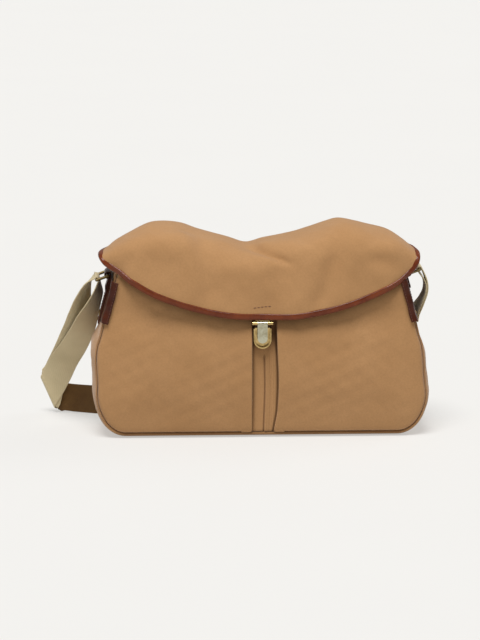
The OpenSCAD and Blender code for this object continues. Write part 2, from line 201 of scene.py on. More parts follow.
def canvas_material(name, light, dark, thread=0.00075):
    """Cotton twill: fine diagonal ribs over crossing threads, with slightly uneven dye."""
    mat, tree, shader = new_material(name, light, 0.86, Sheen_Weight=0.22, Sheen_Roughness=0.45,
                                     Specular_IOR_Level=0.25)
    coords = add(tree, "TexCoord")
    uv, place = coords.outputs["UV"], coords.outputs["Object"]
    warp = bands(tree, uv, thread, "X", 0.6)
    weft = bands(tree, uv, thread * 1.15, "Y", 0.6)
    ribs = bands(tree, uv, thread * 2.4, "DIAGONAL", 0.4)
    weave = weighted(tree, (warp, 0.35), (weft, 0.3), (ribs, 0.35))
    slub = noise(tree, place, 420, 2.0)
    dye = noise(tree, place, 13, 4.0)
    patches = blend_colours(tree, spread(tree, dye, 0.3, 0.7), dark, light)
    flecks = blend_colours(tree, spread(tree, slub, 0.35, 0.75, 0, 0.3), patches, scaled(dark, 0.72))
    colour = blend_colours(tree, spread(tree, weave, 0.5, 0.12, 0, 0.32), flecks, scaled(dark, 0.55))
    # Painted shade: the share on each point darkens the cloth towards the shade colour.
    painted_shade = add(tree, "Attribute", attribute_name=PAINTED_SHADE_ATTR).outputs["Fac"]
    with_painted_shade = blend_colours(tree, painted_shade, colour, PAINTED_SHADE_COLOUR)
    surface(tree, shader, with_painted_shade, weighted(tree, (weave, 1), (slub, 0.5)), 0.5, 0.00022)
    return mat


def leather_material(name, light, dark, roughness, coat=0.25, grain=1500):
    """Waxed leather: fine pebbled grain, pull-up colour variation and rubbed highlights."""
    mat, tree, shader = new_material(name, light, roughness, Coat_Weight=coat, Coat_Roughness=0.16,
                                     Specular_IOR_Level=0.14)
    place = add(tree, "TexCoord").outputs["Object"]
    pebbles = add(tree, "TexVoronoi", {"Vector": place, "Scale": grain, "Randomness": 1.0},
                  feature="F1").outputs["Distance"]
    creases = noise(tree, place, 240, 5.0, 0.6)
    tone = noise(tree, place, 38, 4.0, 0.6)
    worn = blend_colours(tree, spread(tree, tone, 0.3, 0.72), dark, light)
    colour = blend_colours(tree, spread(tree, creases, 0.55, 0.8, 0, 0.35), worn, scaled(light, 1.6))
    gloss = spread(tree, tone, 0.3, 0.7, roughness * 0.8, roughness * 1.25)
    tree.links.new(gloss, shader.inputs["Roughness"])
    surface(tree, shader, colour, weighted(tree, (pebbles, 0.7), (creases, 1)), 0.35, 0.00025)
    return mat


def webbing_material(name, light, dark):
    """Woven cotton webbing: cross ribs, a fine herringbone along them and uneven tone."""
    mat, tree, shader = new_material(name, light, 0.85, Sheen_Weight=0.25, Sheen_Roughness=0.4,
                                     Specular_IOR_Level=0.25)
    coords = add(tree, "TexCoord")
    uv, place = coords.outputs["UV"], coords.outputs["Object"]
    ribs = bands(tree, uv, 0.0016, "Y", 0.35)
    ends = bands(tree, uv, 0.0011, "X", 0.5)
    herring = bands(tree, uv, 0.0046, "DIAGONAL", 0.2)
    weave = weighted(tree, (ribs, 0.5), (ends, 0.3), (herring, 0.2))
    tone = noise(tree, place, 30, 4.0)
    patches = blend_colours(tree, spread(tree, tone, 0.3, 0.7), dark, light)
    colour = blend_colours(tree, spread(tree, weave, 0.55, 0.15, 0, 0.4), patches, scaled(dark, 0.5))
    surface(tree, shader, colour, weave, 0.6, 0.0004)
    return mat


def metal_material(name, light, dark, roughness):
    """Polished cast metal with faint swirl marks and tarnish in patches."""
    mat, tree, shader = new_material(name, light, roughness, 1.0)
    place = add(tree, "TexCoord").outputs["Object"]
    tarnish = noise(tree, place, 160, 5.0, 0.65)
    swirls = noise(tree, place, 900, 3.0, 0.7)
    colour = blend_colours(tree, spread(tree, tarnish, 0.42, 0.72), light, dark)
    gloss = spread(tree, swirls, 0.3, 0.7, roughness * 0.7, roughness * 1.5)
    tree.links.new(gloss, shader.inputs["Roughness"])
    surface(tree, shader, colour, swirls, 0.12, 0.0001)
    return mat


def thread_material(name, colour):
    """Twisted sewing thread."""
    mat, tree, shader = new_material(name, colour, 0.6, Sheen_Weight=0.2)
    place = add(tree, "TexCoord").outputs["Object"]
    twist = bands(tree, place, 0.0006, "DIAGONAL", 1.0)
    shade = blend_colours(tree, weighted(tree, (twist, 0.5)), colour, scaled(colour, 0.55))
    surface(tree, shader, shade, twist, 0.5, 0.0001)
    return mat


def board_material(name):
    """Fibre stiffener board with a felted surface."""
    mat, tree, shader = new_material(name, (0.05, 0.045, 0.04), 0.9)
    place = add(tree, "TexCoord").outputs["Object"]
    fibres = noise(tree, place, 700, 4.0, 0.7)
    shade = blend_colours(tree, fibres, (0.03, 0.027, 0.024), (0.09, 0.08, 0.07))
    surface(tree, shader, shade, fibres, 0.4, 0.0003)
    return mat


def floor_material():
    """Pale sweep that glows a little from within, which keeps the shadows on it light."""
    mat, tree, shader = new_material("studio_floor", (0.34, 0.335, 0.325), 0.9,
                                     Emission_Strength=0.46, Emission_Color=(1, 0.99, 0.965, 1))
    place = add(tree, "TexCoord").outputs["Object"]
    tone = noise(tree, place, 3, 2.0)
    tree.links.new(blend_colours(tree, tone, (0.335, 0.33, 0.32), (0.345, 0.34, 0.33)),
                   shader.inputs["Base Color"])
    return mat


CANVAS = canvas_material("tan_canvas", (0.46, 0.25, 0.108), (0.415, 0.22, 0.09))
TAPE = canvas_material("tan_tape", (0.36, 0.2, 0.085), (0.3, 0.165, 0.068), 0.0011)
BINDING = leather_material("binding_leather", (0.19, 0.04, 0.009), (0.1, 0.018, 0.005), 0.3, 0.2)
LEATHER = leather_material("dark_leather", (0.085, 0.018, 0.006), (0.035, 0.008, 0.004), 0.34, 0.1)
WEBBING = webbing_material("cotton_webbing", (0.66, 0.55, 0.34), (0.58, 0.48, 0.29))
BRASS = metal_material("polished_brass", (0.56, 0.4, 0.17), (0.26, 0.17, 0.06), 0.2)
DULL_BRASS = metal_material("dull_brass", (0.26, 0.19, 0.085), (0.13, 0.09, 0.04), 0.36)
MIRROR = metal_material("plated_lever", (0.5, 0.48, 0.36), (0.34, 0.31, 0.2), 0.12)
# Painted shade: a darker copy of the webbing for the stretches that lie in the bag's shadow.
SHADED_WEBBING = webbing_material("shaded_webbing", (0.14, 0.07, 0.018), (0.1, 0.047, 0.012))
THREAD = thread_material("tan_thread", (0.36, 0.2, 0.09))
BROWN_THREAD = thread_material("brown_thread", (0.12, 0.035, 0.016))
CREAM_THREAD = thread_material("cream_thread", (0.5, 0.42, 0.27))
BOARD = board_material("fibre_board")


# ---------------------------------------------------------------- curves and meshes

def ease(t):
    """0 to 1 with soft ends, for t from 0 to 1."""
    t = np.clip(t, 0, 1)
    return t * t * (3 - 2 * t)


def bell(x, centre, width):
    return np.exp(-((x - centre) / width) ** 2)


def ripple(a, b, size, seed, waves=8):
    """Smooth unevenness of about -1 to 1 over a surface, with bumps of that size in mm."""
    dice = random.Random(seed)
    total = 0
    for _ in range(waves):
        angle = dice.uniform(0, math.pi)
        turns = dice.uniform(0.5, 1.6) / size
        phase = dice.uniform(0, 2 * math.pi)
        total = total + np.sin(2 * math.pi * turns * (a * math.cos(angle) + b * math.sin(angle)) + phase)
    return total / math.sqrt(waves)


def spline(points, n):
    """n points on a smooth curve through the given ones, the same number between each two."""
    p = np.asarray(points, float)
    p = np.vstack([2 * p[0] - p[1], p, 2 * p[-1] - p[-2]])
    t = np.linspace(0, len(points) - 1, n)
    i = np.minimum(t.astype(int), len(points) - 2)
    f = (t - i)[:, None]
    a, b, c, d = p[i], p[i + 1], p[i + 2], p[i + 3]
    return 0.5 * (2 * b + (c - a) * f + (2 * a - 5 * b + 4 * c - d) * f**2 + (3 * b - a - 3 * c + d) * f**3)


def lengths(points):
    """Distance along a line of points to each of them."""
    steps = np.linalg.norm(np.diff(points, axis=0), axis=1)
    return np.concatenate([[0], np.cumsum(steps)])


def evenly(values, s, n):
    """n rows of values, evenly spaced along the distances s that the rows are at."""
    at = np.linspace(0, s[-1], n)
    return np.stack([np.interp(at, s, column) for column in values.T], axis=1)


def even(points, n):
    """n points evenly spaced along a line of points."""
    return evenly(np.asarray(points, float), lengths(points), n)


def unit(v):
    return v / np.maximum(np.linalg.norm(v, axis=-1, keepdims=True), 1e-9)


def finish_piece(obj, material, body, replaced=()):
    """Gives a piece its material, its body and the CAD nodes that it stands for."""
    obj.data.materials.append(material)
    if body:
        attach(obj, body)
    if replaced:
        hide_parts(*replaced)
    return obj


def mesh_object(name, verts, faces, uv=None):
    """A smooth-shaded mesh from points in mm. uv holds one pair in metres for each point."""
    mesh = bpy.data.meshes.new(name)
    mesh.from_pydata([tuple(v) for v in np.asarray(verts, float) * MM], [], faces)
    if uv is not None:
        layer = mesh.uv_layers.new(name="cloth")
        pairs = np.asarray(uv, float)
        corner_points = np.zeros(len(mesh.loops), dtype=np.int32)
        mesh.loops.foreach_get("vertex_index", corner_points)
        layer.data.foreach_set("uv", pairs[corner_points].ravel())
    mesh.polygons.foreach_set("use_smooth", [True] * len(mesh.polygons))
    mesh.update()
    obj = bpy.data.objects.new(name, mesh)
    bpy.context.scene.collection.objects.link(obj)
    return obj


def quads(rows, cols, ring=False, first=0):
    """Faces of a grid of points from number first on. With ring its last column joins the first."""
    faces = []
    for r in range(rows - 1):
        low, high = first + r * cols, first + (r + 1) * cols
        for c in range(cols if ring else cols - 1):
            d = (c + 1) % cols
            faces.append((low + c, low + d, high + d, high + c))
    return faces


def tube_faces(rings, sides, first=0):
    """Faces of a closed tube of rings of points, with both its ends."""
    last = first + (rings - 1) * sides
    return quads(rings, sides, True, first) + [tuple(range(first, first + sides))[::-1],
                                               tuple(range(last, last + sides))]


def grid_object(name, points, uv, thickness=0.0):
    """A sheet through points[row][column] in mm, with uv[row][column] in mm.

    Its outer side is that of column step times row step, and thickness grows inwards.
    """
    rows, cols = points.shape[:2]
    obj = mesh_object(name, points.reshape(-1, 3), quads(rows, cols), uv.reshape(-1, 2) * MM)
    if thickness:
        shell = obj.modifiers.new("thickness", "SOLIDIFY")
        shell.thickness = thickness * MM
        shell.offset = -1
        shell.use_even_offset = False
    return obj


def rounded_box(width, height, radius, steps=3):
    """Outline of a rounded rectangle round the origin, anticlockwise."""
    points = []
    for corner, (sx, sy) in enumerate(((1, 1), (-1, 1), (-1, -1), (1, -1))):
        for k in range(steps + 1):
            a = math.radians(90 * corner + 90 * k / steps)
            points.append((sx * (width / 2 - radius) + radius * math.cos(a),
                           sy * (height / 2 - radius) + radius * math.sin(a)))
    return np.array(points)


def sweep(name, centres, across, out, profile):
    """A solid with that profile along a line of centres. across and out are the directions of
    the profile's two coordinates, one for all centres or one for each. Both ends are closed."""
    centres, across, out = np.broadcast_arrays(centres, across, out)
    n, m = len(centres), len(profile)
    points = (centres[:, None] + profile[None, :, :1] * across[:, None]
              + profile[None, :, 1:] * out[:, None])
    uv = np.stack(np.broadcast_arrays(profile[None, :, 0], lengths(centres)[:, None]), axis=-1)
    return mesh_object(name, points.reshape(-1, 3), tube_faces(n, m), uv.reshape(-1, 2) * MM)


def tangents(points):
    return unit(np.gradient(points, axis=0))


def stitch_row(verts, faces, path, out, pitch=3.4, length=2.5, radius=0.32, lift=0.1):
    """Adds a row of stitches along a line to verts and faces, each a small bead of thread."""
    path, out = np.broadcast_arrays(np.asarray(path, float), out)
    n = max(2, int(lengths(path)[-1] / pitch))
    centres, ups = even(path, n), unit(even(out, n))
    along = tangents(centres)
    rings = ((-0.5, 0.25), (-0.32, 0.9), (0, 1.0), (0.32, 0.9), (0.5, 0.25))
    sides = 6
    for c, up, t in zip(centres, ups, along):
        side = np.cross(up, t)
        side /= max(np.linalg.norm(side), 1e-9)
        up = np.cross(t, side)
        faces.extend(tube_faces(len(rings), sides, len(verts)))
        for shift, share in rings:
            for k in range(sides):
                a = 2 * math.pi * k / sides
                verts.append(c + t * length * shift + up * (lift + radius * share * math.sin(a))
                             + side * radius * share * math.cos(a))


def stitches(name, rows, material, body, slot, **options):
    """One object of several rows of stitches. Each row is a line and the direction outward from
    it, as one vector or as one for each point."""
    verts, faces = [], []
    for path, out in rows:
        stitch_row(verts, faces, path, out, **options)
    return finish_piece(mesh_object(name, verts, faces), material, body, ())


def bevel(obj, width, segments=2):
    """Rounds the edges of a CAD or modelled metal piece."""
    made = obj.modifiers.new("round", "BEVEL")
    made.width = width * MM
    made.segments = segments
    made.limit_method = "ANGLE"
    made.angle_limit = math.radians(40)
    return obj


# ---------------------------------------------------------------- the bag's outline

CORNER_X, CORNER_R = 178, 42
LOW_TILT, TILT, KNEE_Z = math.radians(7), math.radians(15), 140
LOW_X, LOW_Z = 175, 60         # centre of the rounded lower corner
FRONT_SEAM_Y, BACK_SEAM_Y = -57, 52
GUSSET_TOP, POCKET_TOP, BACK_TOP = 236, 225, 246
CENTRE_X = 3                   # of the pleat and the clasp
CLOTH_T = 1.6
SIDE_NAME = {-1: "left", 1: "right"}
SEAM_GROOVE = 2.6              # how deep the front seam is drawn in
LEFT_SWELL = 2.5               # the left side is filled out a little more
LOWER_RIGHT = 6.5              # how far the load pushes out the lower right corner


def cad_side(z):
    """Half width of the CAD sides at height z: they lean in more above the knee."""
    def low_part(h):
        return CORNER_X + (CORNER_R - (h - CORNER_R) * math.sin(LOW_TILT)) / math.cos(LOW_TILT)
    return np.minimum(low_part(z), low_part(KNEE_Z) - (z - KNEE_Z) * math.tan(TILT))


def half_width(z):
    """Half width of the filled bag at height z of its sides."""
    return cad_side(z) + 5.5 * bell(z, 108, 32) * (1 - ease((z - 122) / 22))


def seam_inset(z):
    """How far the seams lie inside the outline: further in along the base."""
    return 2 + 4.7 * ease((165 - z) / 100)


def outline(n, top, inset=0):
    """n points (x, z) round the bag from the left top, along the base, to the right top."""
    z = np.linspace(LOW_Z, top, 40)
    a = np.radians(np.linspace(-90, 0, 24)[:-1])
    base = np.stack([np.linspace(0, LOW_X, 30)[:-1], np.full(29, 0.3)], axis=1)
    corner = np.stack([LOW_X + (half_width(LOW_Z) - LOW_X) * np.cos(a),
                       0.3 + (LOW_Z - 0.3) * (1 + np.sin(a))], axis=1)
    half = np.vstack([base, corner, np.stack([half_width(z), z], axis=1)])
    whole = even(np.vstack([half[::-1] * (-1, 1), half[1:]]), n)
    if callable(inset):
        along = tangents(whole)
        inward = np.stack([-along[:, 1], along[:, 0]], axis=1)
        whole = whole + inward * inset(whole[:, 1])[:, None]
    return whole


SEAM = outline(1500, BACK_TOP + 2, seam_inset)


def seam_half(z):
    """Half width of a panel at height z, between the seams at its sides."""
    side = SEAM[len(SEAM) // 2:]
    side = side[side[:, 0] > LOW_X - 0.5]
    return np.interp(z, side[:, 1], side[:, 0])


def to_seam(x, z):
    """Distance from points of a panel to the seam round it."""
    flat = np.stack([x.ravel(), z.ravel()], axis=1)
    near = [np.sqrt(((flat[i:i + 2000, None] - SEAM[None]) ** 2).sum(-1)).min(1)
            for i in range(0, len(flat), 2000)]
    return np.concatenate(near).reshape(x.shape)


def settled(points):
    """The load has settled towards the lower right corner, which is a little fuller."""
    moved = points.copy()
    moved[..., 0] += LOWER_RIGHT * ease(points[..., 0] / 210) * ease((118 - points[..., 2]) / 75)
    return moved


def graded(n, k=2.2):
    """n steps from 0 to 1, finer near 0."""
    return (np.exp(k * np.linspace(0, 1, n)) - 1) / (math.exp(k) - 1)


# ---------------------------------------------------------------- bag body

LOWEST = float(SEAM[:, 1].min())
PLEAT_LEFT = -12
FOLD_R = 1.8
FOLD_UNDER = 12


def pleat_right(z):
    """The pleat's right fold: it bows out half way down and comes back at the base."""
    return 23.4 + 2.6 * bell(z, 75, 45) - 4 * ease((40 - z) / 40)


def pocket_y(x, z):
    """Depth of the pocket's filled face."""
    d = to_seam(x, z)
    belly = 7 + 5 * bell(z, 80, 55) - 7.5 * ease((z - 128) / 45)
    y = FRONT_SEAM_Y - 3.2 * (1 - np.exp(-d / 2.2)) - belly * (1 - np.exp(-d / 38))
    y += SEAM_GROOVE * np.exp(-d / 0.9)
    uneven = 0.5 * ripple(x, z, 80, 3) + 0.3 * ripple(x, z, 26, 5)
    return y + uneven * (1 - np.exp(-d / 25))


def pocket_panel(side):
    """One half of the pocket's face, from the seam to the pleat and folded under there."""
    rows, cols = 120, 110
    z = (LOWEST + (POCKET_TOP - LOWEST) * graded(rows))[:, None] + np.zeros((rows, cols))
    seam_x = seam_half(z[:, :1])
    fold_x = pleat_right(z[:, :1]) if side > 0 else np.full((rows, 1), -PLEAT_LEFT)
    x = seam_x + (fold_x - seam_x) * graded(cols)[None]
    y = pocket_y(side * x, z)
    turn = np.radians(np.linspace(15, 180, 10))
    back = np.linspace(2, FOLD_UNDER, 4)
    r = FOLD_R * (1 - 0.7 * np.exp(-(z[:, :1] - LOWEST) / 12))
    y_fold = y[:, -1:]
    x = np.hstack([x, fold_x - FOLD_R * np.sin(turn)[None], fold_x + back[None]])
    y = np.hstack([y, y_fold + r * (1 - np.cos(turn))[None], y_fold + 2 * r + 0 * back[None]])
    z = np.hstack([z, z[:, :14]])
    points = np.stack([side * x, y, z], axis=-1)
    across = np.cumsum(np.hstack([np.zeros((rows, 1)),
                                  np.linalg.norm(np.diff(points[:, :, :2], axis=1), axis=-1)]), axis=1)
    uv = np.stack([side * (seam_x - across), z], axis=-1)
    if side > 0:
        points, uv = points[:, ::-1], uv[:, ::-1]
    name = SIDE_NAME[side]
    cloth = grid_object("pocket_face_" + name, settled(points), uv, CLOTH_T)
    x, z = points[..., 0], points[..., 2]
    # Painted shadow under the flap's edge, and painted shade in the seam groove.
    flap_shadow = ease((z - flap_edge_z(x) + 17) / 20)
    at_seam = np.exp(-to_seam(x, z) / 0.8)
    paint_shade_points(cloth, 0.72 * flap_shadow + 0.3 * at_seam)
    return finish_piece(cloth, CANVAS, "bag", ["pocket_panel_" + name])


def pocket_hem(side):
    """Turned hem along the top of the pocket's face."""
    rows, cols = 8, 90
    name = SIDE_NAME[side]
    z = np.linspace(POCKET_TOP - 11, POCKET_TOP + 0.4, rows)[:, None] + np.zeros((rows, cols))
    fold_x = 23.5 if side > 0 else -PLEAT_LEFT
    start_x = seam_half(z[:, :1]) - 1
    x = side * (start_x + (fold_x - start_x) * np.linspace(0, 1, cols)[None])
    y = pocket_y(x, z) - 0.9
    points = np.stack([x, y, z], axis=-1)
    if side > 0:
        points = points[:, ::-1]
    hem = grid_object("pocket_hem_strip_" + name, points, points[:, :, ::2], 0.8)
    finish_piece(hem, TAPE, "bag", ["pocket_hem_" + name])
    return points[1], (0, -1, 0)


def pleat_channel():
    """Recessed gusset of the pocket's box pleat, with its centre seam."""
    rows, cols = 110, 90
    z = (LOWEST + (POCKET_TOP - 4 - LOWEST) * graded(rows, 1.6))[:, None] + np.zeros((rows, cols))
    left, right = PLEAT_LEFT - 11, pleat_right(z[:, :1]) + 11
    x = left + (right - left) * np.linspace(0, 1, cols)[None]
    dz = z - LOWEST
    y = -57.6 - 4.2 * (1 - np.exp(-dz / 30)) + SEAM_GROOVE * np.exp(-dz / 0.9)
    seam_x = 4.5 + 2 * bell(z, 70, 50)
    below_clasp = 1 - ease((z - 106) / 8)
    y += (1.9 * bell(x, seam_x, 0.9) - 0.9 * bell(x, seam_x + 2.6, 1.7)) * below_clasp
    y += 0.18 * np.sin(x * 2.1) * bell(x, 15, 6) * below_clasp
    points = np.stack([x, y, z], axis=-1)
    cloth = grid_object("pleat_channel", points, points[:, :, ::2], 1.4)
    fold = pleat_right(z)
    # Painted shade in the pleat's folds, along its seams, in the channel's top round the clasp and in the
    # groove at its foot.
    fold_shade = 0.9 * bell(x, fold - 2.9, 1.5) + 0.5 * bell(x, PLEAT_LEFT + 3, 2.4)
    seam = (0.7 * bell(x, seam_x, 0.7) + 0.2 * bell(x, seam_x + 7, 0.8)) * below_clasp
    paint_shade_points(cloth, fold_shade + seam + 0.9 * ease((z - 106) / 34) + 0.5 * np.exp(-dz / 1.5))
    finish_piece(cloth, CANVAS, "bag", ["pocket_pleat"])


def gusset():
    """Sides and base in one strip, puffed out between the front and the back seam."""
    rows, cols = 300, 56
    seam = outline(rows, GUSSET_TOP, seam_inset)
    full = outline(rows, GUSSET_TOP)
    z_full = full[:, 1]
    share = np.sin(np.linspace(-math.pi / 2, math.pi / 2, cols))
    power = (5 + 9 * ease((40 - z_full) / 40))[:, None]
    puff = 1 - np.abs(share)[None] ** power
    y = (FRONT_SEAM_Y + (BACK_SEAM_Y - FRONT_SEAM_Y) * (share + 1) / 2)[None] + np.zeros((rows, cols))
    from_front = y - FRONT_SEAM_Y
    y = y - 3 * bell(from_front, 2.6, 2.4) + SEAM_GROOVE * np.exp(-from_front / 0.9)
    around = lengths(full)[:, None] + 0 * y
    uneven = 0.8 * ripple(around, y, 60, 11) + 0.3 * ripple(around, y, 22, 12)
    on_side = ease((z_full - 25) / 40)[:, None] * (1 - ease((z_full - 128) / 20))[:, None]
    along = tangents(full)
    outward = np.stack([along[:, 1], -along[:, 0]], axis=1)
    xz = seam[:, None] + (full - seam)[:, None] * puff[..., None]
    swell = LEFT_SWELL * (full[:, :1] < 0) * bell(full[:, 1:], 118, 26)
    xz = xz + outward[:, None] * ((uneven * on_side + swell) * puff)[..., None]
    points = np.stack([xz[..., 0], y, xz[..., 1]], axis=-1)
    uv = np.stack([y, around], axis=-1)
    cloth = grid_object("gusset_cloth", settled(points), uv, 2.0)
    # Painted shade along the base where it meets the floor, and in the front seam's groove.
    at_seam = np.exp(-np.abs(y - FRONT_SEAM_Y) / 0.8)
    paint_shade_points(cloth, 0.5 * ease((9 - points[..., 2]) / 7) + 0.3 * at_seam)
    finish_piece(cloth, CANVAS, "bag", ["gusset"])


def back_top(x):
    """Height of the back panel's top edge, which sags in the middle."""
    return BACK_TOP - 12 * bell(x, -15, 75) - 10 * ease((np.abs(x) - 135) / 40)


def back_y(x, z):
    d = to_seam(x, z)
    full = 5.2 * (1 - np.exp(-d / 45)) * (1 - 0.75 * ease((z - 190) / 50))
    return BACK_SEAM_Y + 2.4 * (1 - np.exp(-d / 2.2)) + full + 0.35 * ripple(x, z, 75, 21)


def back_panel():
    rows, cols = 110, 150
    share = graded(rows, 1.4)[:, None]
    side = np.linspace(-math.pi / 2, math.pi / 2, cols)
    across = -np.sin(side)[None] * 0.35 - (2 / math.pi * side)[None] * 0.65
    z = LOWEST + (BACK_TOP - LOWEST) * share + np.zeros((rows, cols))
    x = across * seam_half(z)
    z = LOWEST + (back_top(x) - LOWEST) * share
    points = np.stack([x, back_y(x, z), z], axis=-1)
    cloth = grid_object("back_cloth", settled(points), np.stack([-x, z], axis=-1), CLOTH_T)
    finish_piece(cloth, CANVAS, "bag", ["back_panel"])


def seam_tape():
    """Tape over the seam where the flap joins the back, with two rows of stitches."""
    rows, cols = 10, 120
    x = np.linspace(178, -178, cols)[None] + np.zeros((rows, cols))
    down = np.linspace(20, 1.5, rows)[:, None]
    z = back_top(x) - down
    y = back_y(x, z) + 1.0
    points = np.stack([x, y, z], axis=-1)
    tape = grid_object("seam_tape", points, np.stack([-x, z], axis=-1), 0.9)
    finish_piece(tape, TAPE, "bag", ["flap_seam_tape"])
    rows = [(points[row], (0, 1, 0)) for row in (1, -2)]
    stitches("seam_tape_stitches", rows, THREAD, "bag", "canvas_dark")


def divider_top(x):
    return GUSSET_TOP - 8 * bell(x, -10, 90)


def divider_panel():
    """Front wall of the main compartment, behind the pocket."""
    rows, cols = 60, 90
    z = np.linspace(LOWEST, GUSSET_TOP, rows)[:, None] + np.zeros((rows, cols))
    x = np.linspace(-1, 1, cols)[None] * (seam_half(z) - 1.5)
    z = LOWEST + (divider_top(x) - LOWEST) * np.linspace(0, 1, rows)[:, None]
    y = -51 - 0.6 * ripple(x, z, 90, 31)
    points = np.stack([x, y, z], axis=-1)
    cloth = grid_object("divider_cloth", settled(points), points[:, :, ::2], CLOTH_T)
    finish_piece(cloth, CANVAS, "bag", ["front_panel"])


def mouth_binding():
    """Folded tape over the mouth's edge, along both sides and the divider."""
    side_x = half_width(232) - 1.4
    plan = [(-side_x + 1, 50), (-side_x, 20), (-side_x, -20), (-side_x + 0.5, -44), (-side_x + 7, -50.2)]
    plan += [(x, -50.4) for x in np.linspace(-side_x + 20, side_x - 20, 24)]
    plan += [(-x, y) for x, y in plan[4::-1]]
    path = even(spline([(x, y, 0) for x, y in plan], 600), 260)
    on_front = ease((-38 - path[:, 1]) / 10)
    path[:, 2] = GUSSET_TOP - 3.6 - on_front * (GUSSET_TOP - divider_top(path[:, 0]))
    up = np.array((0, 0, 1.0))
    side = unit(np.cross(tangents(path), up))
    tape = sweep("mouth_tape", path, up, side, rounded_box(10, 3.8, 1.6))
    finish_piece(tape, TAPE, "bag", ["mouth_binding"])
    rows = [(path - up * 3.2 + side * s * 1.9, side * s) for s in (-1, 1)]
    stitches("mouth_stitches", rows, THREAD, "bag", "canvas_dark")


def base_stiffener():
    """Board that lies on the base, just short of the seams that turn up along it."""
    length, width, low, top = 336, 84, 2.6, 5.4
    verts = [(x, y, z) for z in (low, top) for x, y in rounded_box(length, width, 8)]
    board = mesh_object("base_stiffener", verts, tube_faces(2, len(verts) // 2))
    bevel(board, 0.6)
    finish_piece(board, BOARD, "bag", ["base_board"])


def build_body():
    hems = []
    for side in (-1, 1):
        pocket_panel(side)
        hems.append(pocket_hem(side))
    stitches("hem_stitches", hems, THREAD, "bag", "canvas_dark")
    pleat_channel()
    gusset()
    back_panel()
    seam_tape()
    divider_panel()
    mouth_binding()
    base_stiffener()


# ---------------------------------------------------------------- flap

FLAP_HALF, FLAP_REAR_HALF = 209, 182
FLARE = 5                      # how far the lower edge stands off either side of the clasp
TIP_START, TIP_RISE = 202, 20  # the lower edge ends at TIP_START and rounds up over TIP_RISE
FLAP_ROWS, FLAP_COLS = 130, 190
FLAP_T = 2.2

# Ridge of the flap over the middle of the bag, as (x, height): two humps and a dip
RIDGE = [(-208, 242), (-198, 249.5), (-186, 258.5), (-155, 274.5), (-135, 278), (-108, 275.5),
         (-84, 267), (-52, 258.5), (-16, 249.5), (10, 254.5), (47, 262), (76, 270.5), (97, 277.5),
         (113, 281), (133, 277.5), (150, 273), (174, 267), (190, 257.5), (200, 249.5), (209, 242)]
# Its front seen from the side, as (y, share of the way up to the ridge)
FLAP_SIDE = [(-71.5, 0), (-71, 0.3), (-70, 0.52), (-66.5, 0.72), (-58, 0.86), (-42, 0.95),
             (-20, 0.99), (3, 1)]
# Its creases, as start and end in (x, height), depth and width. A negative depth stands out
CREASES = [((-24, 262), (36, 233), 4.6, 5.5), ((-6, 266), (62, 248), -2.2, 9),
           ((-76, 268), (-62, 186), 2.6, 12), ((-98, 268), (-86, 200), -1.2, 12),
           ((112, 282), (74, 174), 2.8, 12), ((136, 276), (104, 184), -1.2, 13),
           ((148, 238), (176, 226), 3.0, 11), ((-150, 262), (-178, 228), 1.8, 10)]


def flap_edge_z(x):
    """Height of the flap's lower edge: an arc a little higher on the left, with upturned ends."""
    arc = 159.5 + 356 - np.sqrt(356**2 - x**2) - 2.2 * bell(x, -150, 35) - 2.2 * ease(x / 60)
    left = 10 * np.maximum(0, -x / 186) ** 2.6 - 2 * np.maximum(0, (-x - 185) / 15)
    right = -3.6 * np.maximum(0, x / 175) ** 1.5 + 6 * np.maximum(0, (x - 174) / 24) ** 1.5
    return arc + left + right


def flap_ridge(x):
    line = spline(RIDGE, 400)
    return float(np.interp(x, line[:, 0], line[:, 1]))


def flap_column(x):
    """The flap's (y, z) from its lower front edge over the ridge to its seam at the back."""
    low = float(flap_edge_z(x * TIP_START / FLAP_HALF))
    top, back = flap_ridge(x), float(back_top(x)) + 0.5
    drawn_back = 15 * ease((abs(x) - 165) / 43)
    low -= 0.18 * drawn_back
    points = [(y + drawn_back * (3 - y) / 74.5, low + (top - low) * share) for y, share in FLAP_SIDE]
    points += [(24, top - 0.13 * (top - back)), (42, top - 0.5 * (top - back)), (57, back)]
    return even(spline(points, 260), FLAP_ROWS)


def crease(x, h, start, end, depth, width):
    """Soft valley along a line from start to end, in width and height."""
    ax, ah = end[0] - start[0], end[1] - start[1]
    size = math.hypot(ax, ah)
    along = ((x - start[0]) * ax + (h - start[1]) * ah) / size
    off = ((x - start[0]) * ah - (h - start[1]) * ax) / size
    fade = ease((along + 14) / 28) * ease((size + 14 - along) / 28)
    return -depth * fade * np.exp(-(off / width) ** 2)


def flap_grid():
    """Outer surface of the flap: rows from the front edge to the rear, columns to the right."""
    u = np.linspace(-1, 1, FLAP_COLS)
    columns = np.stack([flap_column(v * FLAP_HALF) for v in u], axis=1)
    y, z = columns[..., 0], columns[..., 1]
    half = FLAP_REAR_HALF + (FLAP_HALF - FLAP_REAR_HALF) * ease((60 - y) / 95)
    risen = np.stack([lengths(np.stack([y[:, c], z[:, c]], axis=1)) for c in range(FLAP_COLS)], axis=1)
    half = half - (FLAP_HALF - TIP_START) * np.maximum(0, 1 - risen / TIP_RISE) ** 2
    points = np.stack([u[None] * half, y, z], axis=-1)
    normal = unit(np.cross(np.gradient(points, axis=1), np.gradient(points, axis=0)))
    x = points[..., 0]
    h = z + 0.18 * np.maximum(0, y + 62)
    relief = sum(crease(x, h, *line) for line in CREASES)
    relief += 0.8 * ripple(x, z + y, 85, 41) + 0.25 * ripple(x, z + y, 26, 42)
    relief = 1.3 * relief
    flare = FLARE * (1 - ease((risen - 4) / 50)) * (1 - ease((np.abs(x + 15) - 115) / 60))
    clear_of_clasp = 1 - bell(x, 3, 22) * ease((200 - z) / 20)
    relief = relief * clear_of_clasp * (0.25 + 0.75 * ease((-12 - y) / 30)) * ease((45 - y) / 25)
    relief = relief + flare * (1 - bell(x, 3, 26))
    return points + normal * relief[..., None], normal


